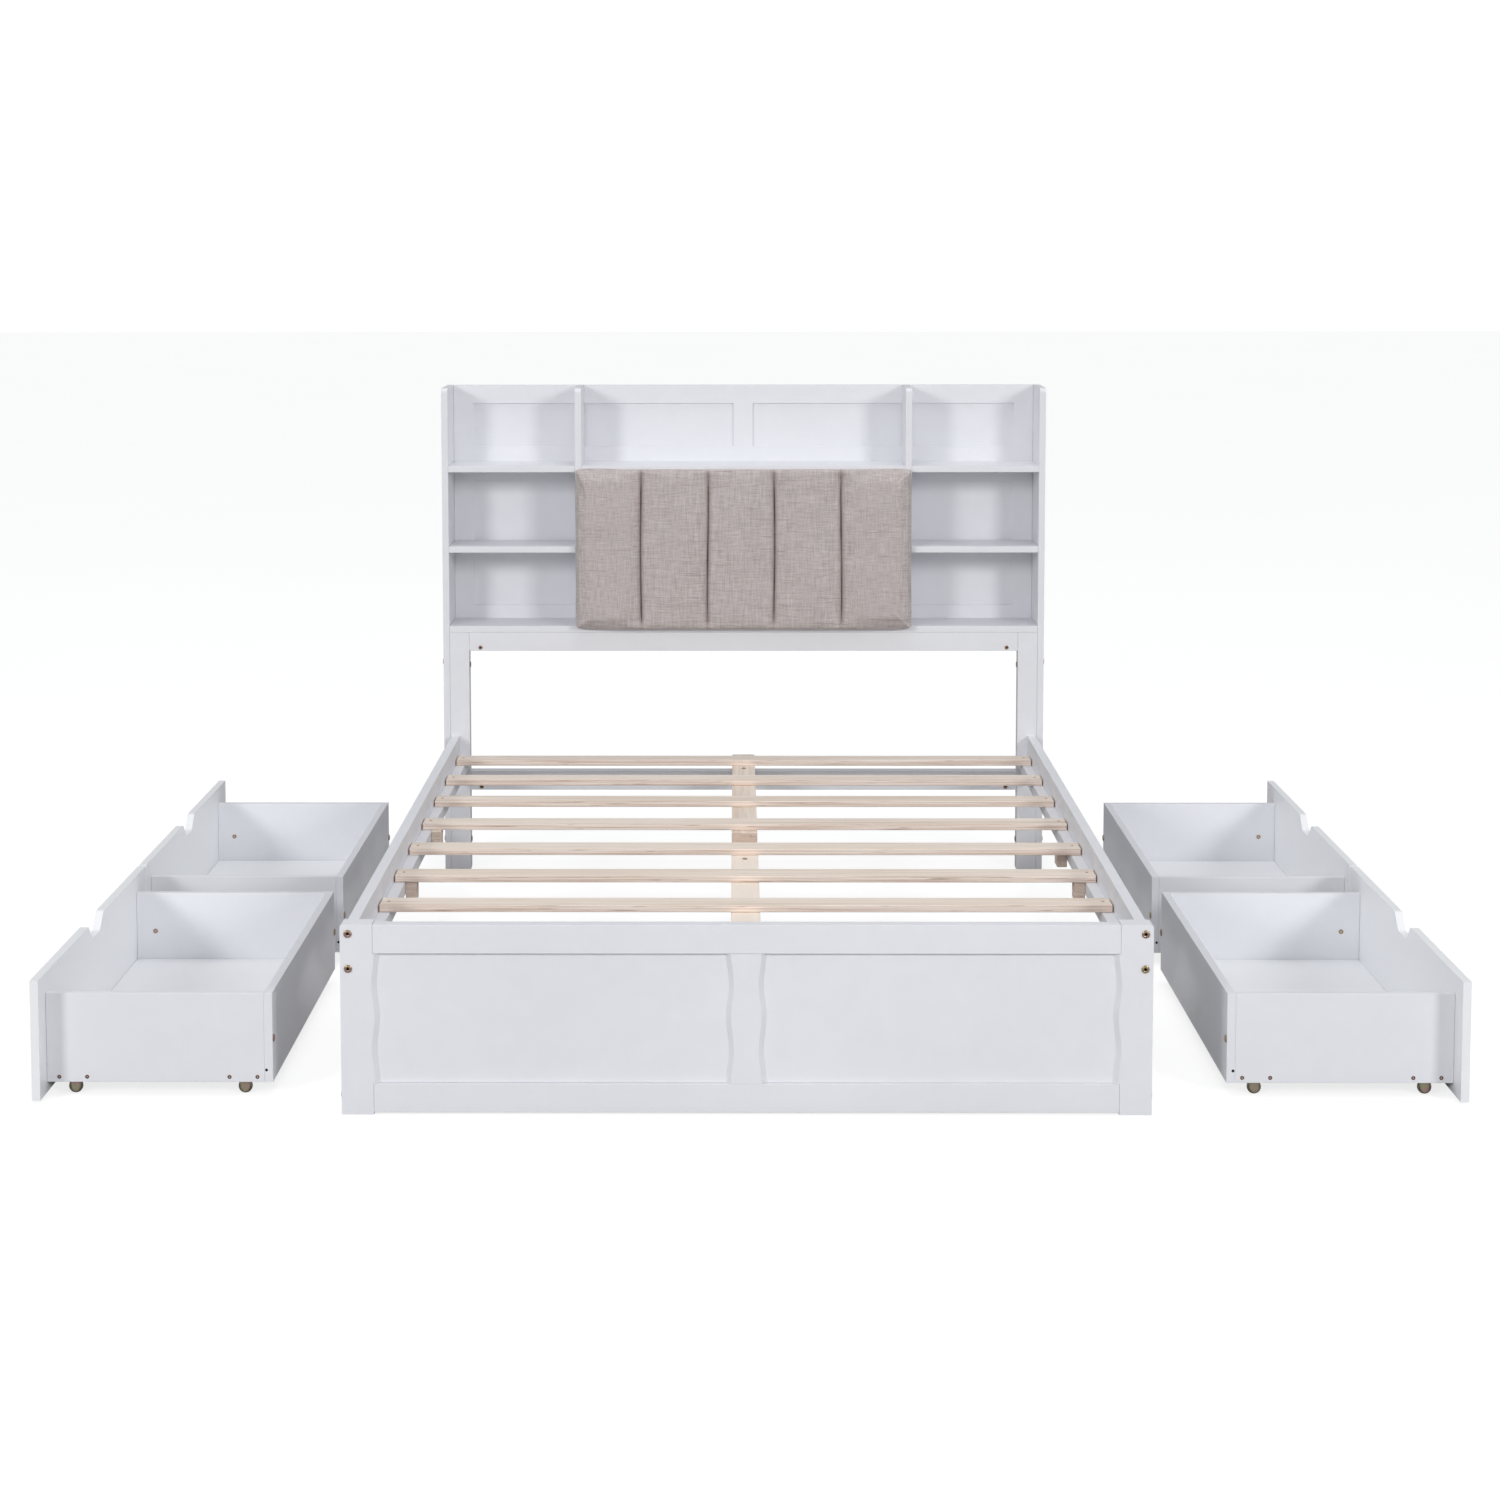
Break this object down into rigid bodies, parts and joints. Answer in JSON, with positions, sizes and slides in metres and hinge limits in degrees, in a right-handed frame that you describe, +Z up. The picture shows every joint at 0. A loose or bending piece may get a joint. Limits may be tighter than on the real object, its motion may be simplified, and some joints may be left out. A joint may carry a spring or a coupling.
{
  "type": "platform bed with storage drawers",
  "caption": "Slatted platform bed with a bookcase headboard, upholstered head pad, panelled footboard and roll-out drawers on castors under each side.",
  "frame": {"origin": "on the floor, midway along the bed and on its centre line", "axes": "+Z up, +Y from the footboard to the headboard, +X to the right seen from the foot end"},
  "size_m": [2.543, 2.114, 1.169],
  "materials": {
    "white_paint": "satin white paint on smooth board",
    "linen": "woven greige linen-look upholstery",
    "natural_pine": "planed, unfinished pale pine",
    "castor_metal": "dark bronze, semi-gloss"
  },
  "bodies": {
    "bed_frame": {"side_panel_left": "white_paint", "head_post_left": "white_paint", "divider_left": "white_paint", "shelf_mid_left": "white_paint", "foot_post_left": "white_paint", "side_rail_left": "white_paint", "side_panel_right": "white_paint", "head_post_right": "white_paint", "divider_right": "white_paint", "shelf_mid_right": "white_paint", "foot_post_right": "white_paint", "side_rail_right": "white_paint", "shelf_top": "white_paint", "shelf_bottom": "white_paint", "back_panel": "white_paint", "apron": "white_paint", "head_rail": "white_paint", "headboard_pad": "linen", "foot_stile": "white_paint", "foot_rail_top": "white_paint", "foot_rail_bottom": "white_paint", "foot_panel": "white_paint", "centre_beam_front": "natural_pine", "centre_beam_rear": "natural_pine", "centre_leg": "natural_pine", "slat_1": "natural_pine", "slat_2": "natural_pine", "slat_3": "natural_pine", "slat_4": "natural_pine", "slat_5": "natural_pine", "slat_6": "natural_pine", "slat_7": "natural_pine"},
    "drawer_left_foot": {"drawer_left_foot_front": "white_paint", "drawer_left_foot_box": "white_paint", "drawer_left_foot_bottom": "white_paint"},
    "drawer_left_foot_wheel_outer_foot_side": {"drawer_left_foot_wheel_outer_foot_side": "castor_metal"},
    "drawer_left_foot_wheel_inner_foot_side": {"drawer_left_foot_wheel_inner_foot_side": "castor_metal"},
    "drawer_left_foot_wheel_outer_head_side": {"drawer_left_foot_wheel_outer_head_side": "castor_metal"},
    "drawer_left_foot_wheel_inner_head_side": {"drawer_left_foot_wheel_inner_head_side": "castor_metal"},
    "drawer_left_head": {"drawer_left_head_front": "white_paint", "drawer_left_head_box": "white_paint", "drawer_left_head_bottom": "white_paint"},
    "drawer_left_head_wheel_outer_foot_side": {"drawer_left_head_wheel_outer_foot_side": "castor_metal"},
    "drawer_left_head_wheel_inner_foot_side": {"drawer_left_head_wheel_inner_foot_side": "castor_metal"},
    "drawer_left_head_wheel_outer_head_side": {"drawer_left_head_wheel_outer_head_side": "castor_metal"},
    "drawer_left_head_wheel_inner_head_side": {"drawer_left_head_wheel_inner_head_side": "castor_metal"},
    "drawer_right_foot": {"drawer_right_foot_front": "white_paint", "drawer_right_foot_box": "white_paint", "drawer_right_foot_bottom": "white_paint"},
    "drawer_right_foot_wheel_outer_foot_side": {"drawer_right_foot_wheel_outer_foot_side": "castor_metal"},
    "drawer_right_foot_wheel_inner_foot_side": {"drawer_right_foot_wheel_inner_foot_side": "castor_metal"},
    "drawer_right_foot_wheel_outer_head_side": {"drawer_right_foot_wheel_outer_head_side": "castor_metal"},
    "drawer_right_foot_wheel_inner_head_side": {"drawer_right_foot_wheel_inner_head_side": "castor_metal"},
    "drawer_right_head": {"drawer_right_head_front": "white_paint", "drawer_right_head_box": "white_paint", "drawer_right_head_bottom": "white_paint"},
    "drawer_right_head_wheel_outer_foot_side": {"drawer_right_head_wheel_outer_foot_side": "castor_metal"},
    "drawer_right_head_wheel_inner_foot_side": {"drawer_right_head_wheel_inner_foot_side": "castor_metal"},
    "drawer_right_head_wheel_outer_head_side": {"drawer_right_head_wheel_outer_head_side": "castor_metal"},
    "drawer_right_head_wheel_inner_head_side": {"drawer_right_head_wheel_inner_head_side": "castor_metal"}
  },
  "joints": [
    {"name": "drawer_left_foot_slide", "type": "slide", "parent": "bed_frame", "child": "drawer_left_foot", "axis": [-1, 0, 0], "range_m": [-0.56, 0]},
    {"name": "drawer_left_foot_wheel_outer_foot_side_spin", "type": "hinge", "parent": "drawer_left_foot", "child": "drawer_left_foot_wheel_outer_foot_side", "pos_m": [-1.204, -0.9264, 0.0125], "axis": [0, 1, 0], "continuous": true},
    {"name": "drawer_left_foot_wheel_inner_foot_side_spin", "type": "hinge", "parent": "drawer_left_foot", "child": "drawer_left_foot_wheel_inner_foot_side", "pos_m": [-0.899, -0.9264, 0.0125], "axis": [0, 1, 0], "continuous": true},
    {"name": "drawer_left_foot_wheel_outer_head_side_spin", "type": "hinge", "parent": "drawer_left_foot", "child": "drawer_left_foot_wheel_outer_head_side", "pos_m": [-1.204, -0.1756, 0.0125], "axis": [0, 1, 0], "continuous": true},
    {"name": "drawer_left_foot_wheel_inner_head_side_spin", "type": "hinge", "parent": "drawer_left_foot", "child": "drawer_left_foot_wheel_inner_head_side", "pos_m": [-0.899, -0.1756, 0.0125], "axis": [0, 1, 0], "continuous": true},
    {"name": "drawer_left_head_slide", "type": "slide", "parent": "bed_frame", "child": "drawer_left_head", "axis": [-1, 0, 0], "range_m": [-0.56, 0]},
    {"name": "drawer_left_head_wheel_outer_foot_side_spin", "type": "hinge", "parent": "drawer_left_head", "child": "drawer_left_head_wheel_outer_foot_side", "pos_m": [-1.204, 0.0031, 0.0125], "axis": [0, 1, 0], "continuous": true},
    {"name": "drawer_left_head_wheel_inner_foot_side_spin", "type": "hinge", "parent": "drawer_left_head", "child": "drawer_left_head_wheel_inner_foot_side", "pos_m": [-0.899, 0.0031, 0.0125], "axis": [0, 1, 0], "continuous": true},
    {"name": "drawer_left_head_wheel_outer_head_side_spin", "type": "hinge", "parent": "drawer_left_head", "child": "drawer_left_head_wheel_outer_head_side", "pos_m": [-1.204, 0.7539, 0.0125], "axis": [0, 1, 0], "continuous": true},
    {"name": "drawer_left_head_wheel_inner_head_side_spin", "type": "hinge", "parent": "drawer_left_head", "child": "drawer_left_head_wheel_inner_head_side", "pos_m": [-0.899, 0.7539, 0.0125], "axis": [0, 1, 0], "continuous": true},
    {"name": "drawer_right_foot_slide", "type": "slide", "parent": "bed_frame", "child": "drawer_right_foot", "axis": [1, 0, 0], "range_m": [-0.571, 0]},
    {"name": "drawer_right_foot_wheel_outer_foot_side_spin", "type": "hinge", "parent": "drawer_right_foot", "child": "drawer_right_foot_wheel_outer_foot_side", "pos_m": [1.215, -0.9264, 0.0125], "axis": [0, 1, 0], "continuous": true},
    {"name": "drawer_right_foot_wheel_inner_foot_side_spin", "type": "hinge", "parent": "drawer_right_foot", "child": "drawer_right_foot_wheel_inner_foot_side", "pos_m": [0.91, -0.9264, 0.0125], "axis": [0, 1, 0], "continuous": true},
    {"name": "drawer_right_foot_wheel_outer_head_side_spin", "type": "hinge", "parent": "drawer_right_foot", "child": "drawer_right_foot_wheel_outer_head_side", "pos_m": [1.215, -0.1756, 0.0125], "axis": [0, 1, 0], "continuous": true},
    {"name": "drawer_right_foot_wheel_inner_head_side_spin", "type": "hinge", "parent": "drawer_right_foot", "child": "drawer_right_foot_wheel_inner_head_side", "pos_m": [0.91, -0.1756, 0.0125], "axis": [0, 1, 0], "continuous": true},
    {"name": "drawer_right_head_slide", "type": "slide", "parent": "bed_frame", "child": "drawer_right_head", "axis": [1, 0, 0], "range_m": [-0.571, 0]},
    {"name": "drawer_right_head_wheel_outer_foot_side_spin", "type": "hinge", "parent": "drawer_right_head", "child": "drawer_right_head_wheel_outer_foot_side", "pos_m": [1.215, 0.0031, 0.0125], "axis": [0, 1, 0], "continuous": true},
    {"name": "drawer_right_head_wheel_inner_foot_side_spin", "type": "hinge", "parent": "drawer_right_head", "child": "drawer_right_head_wheel_inner_foot_side", "pos_m": [0.91, 0.0031, 0.0125], "axis": [0, 1, 0], "continuous": true},
    {"name": "drawer_right_head_wheel_outer_head_side_spin", "type": "hinge", "parent": "drawer_right_head", "child": "drawer_right_head_wheel_outer_head_side", "pos_m": [1.215, 0.7539, 0.0125], "axis": [0, 1, 0], "continuous": true},
    {"name": "drawer_right_head_wheel_inner_head_side_spin", "type": "hinge", "parent": "drawer_right_head", "child": "drawer_right_head_wheel_inner_head_side", "pos_m": [0.91, 0.7539, 0.0125], "axis": [0, 1, 0], "continuous": true}
  ]
}
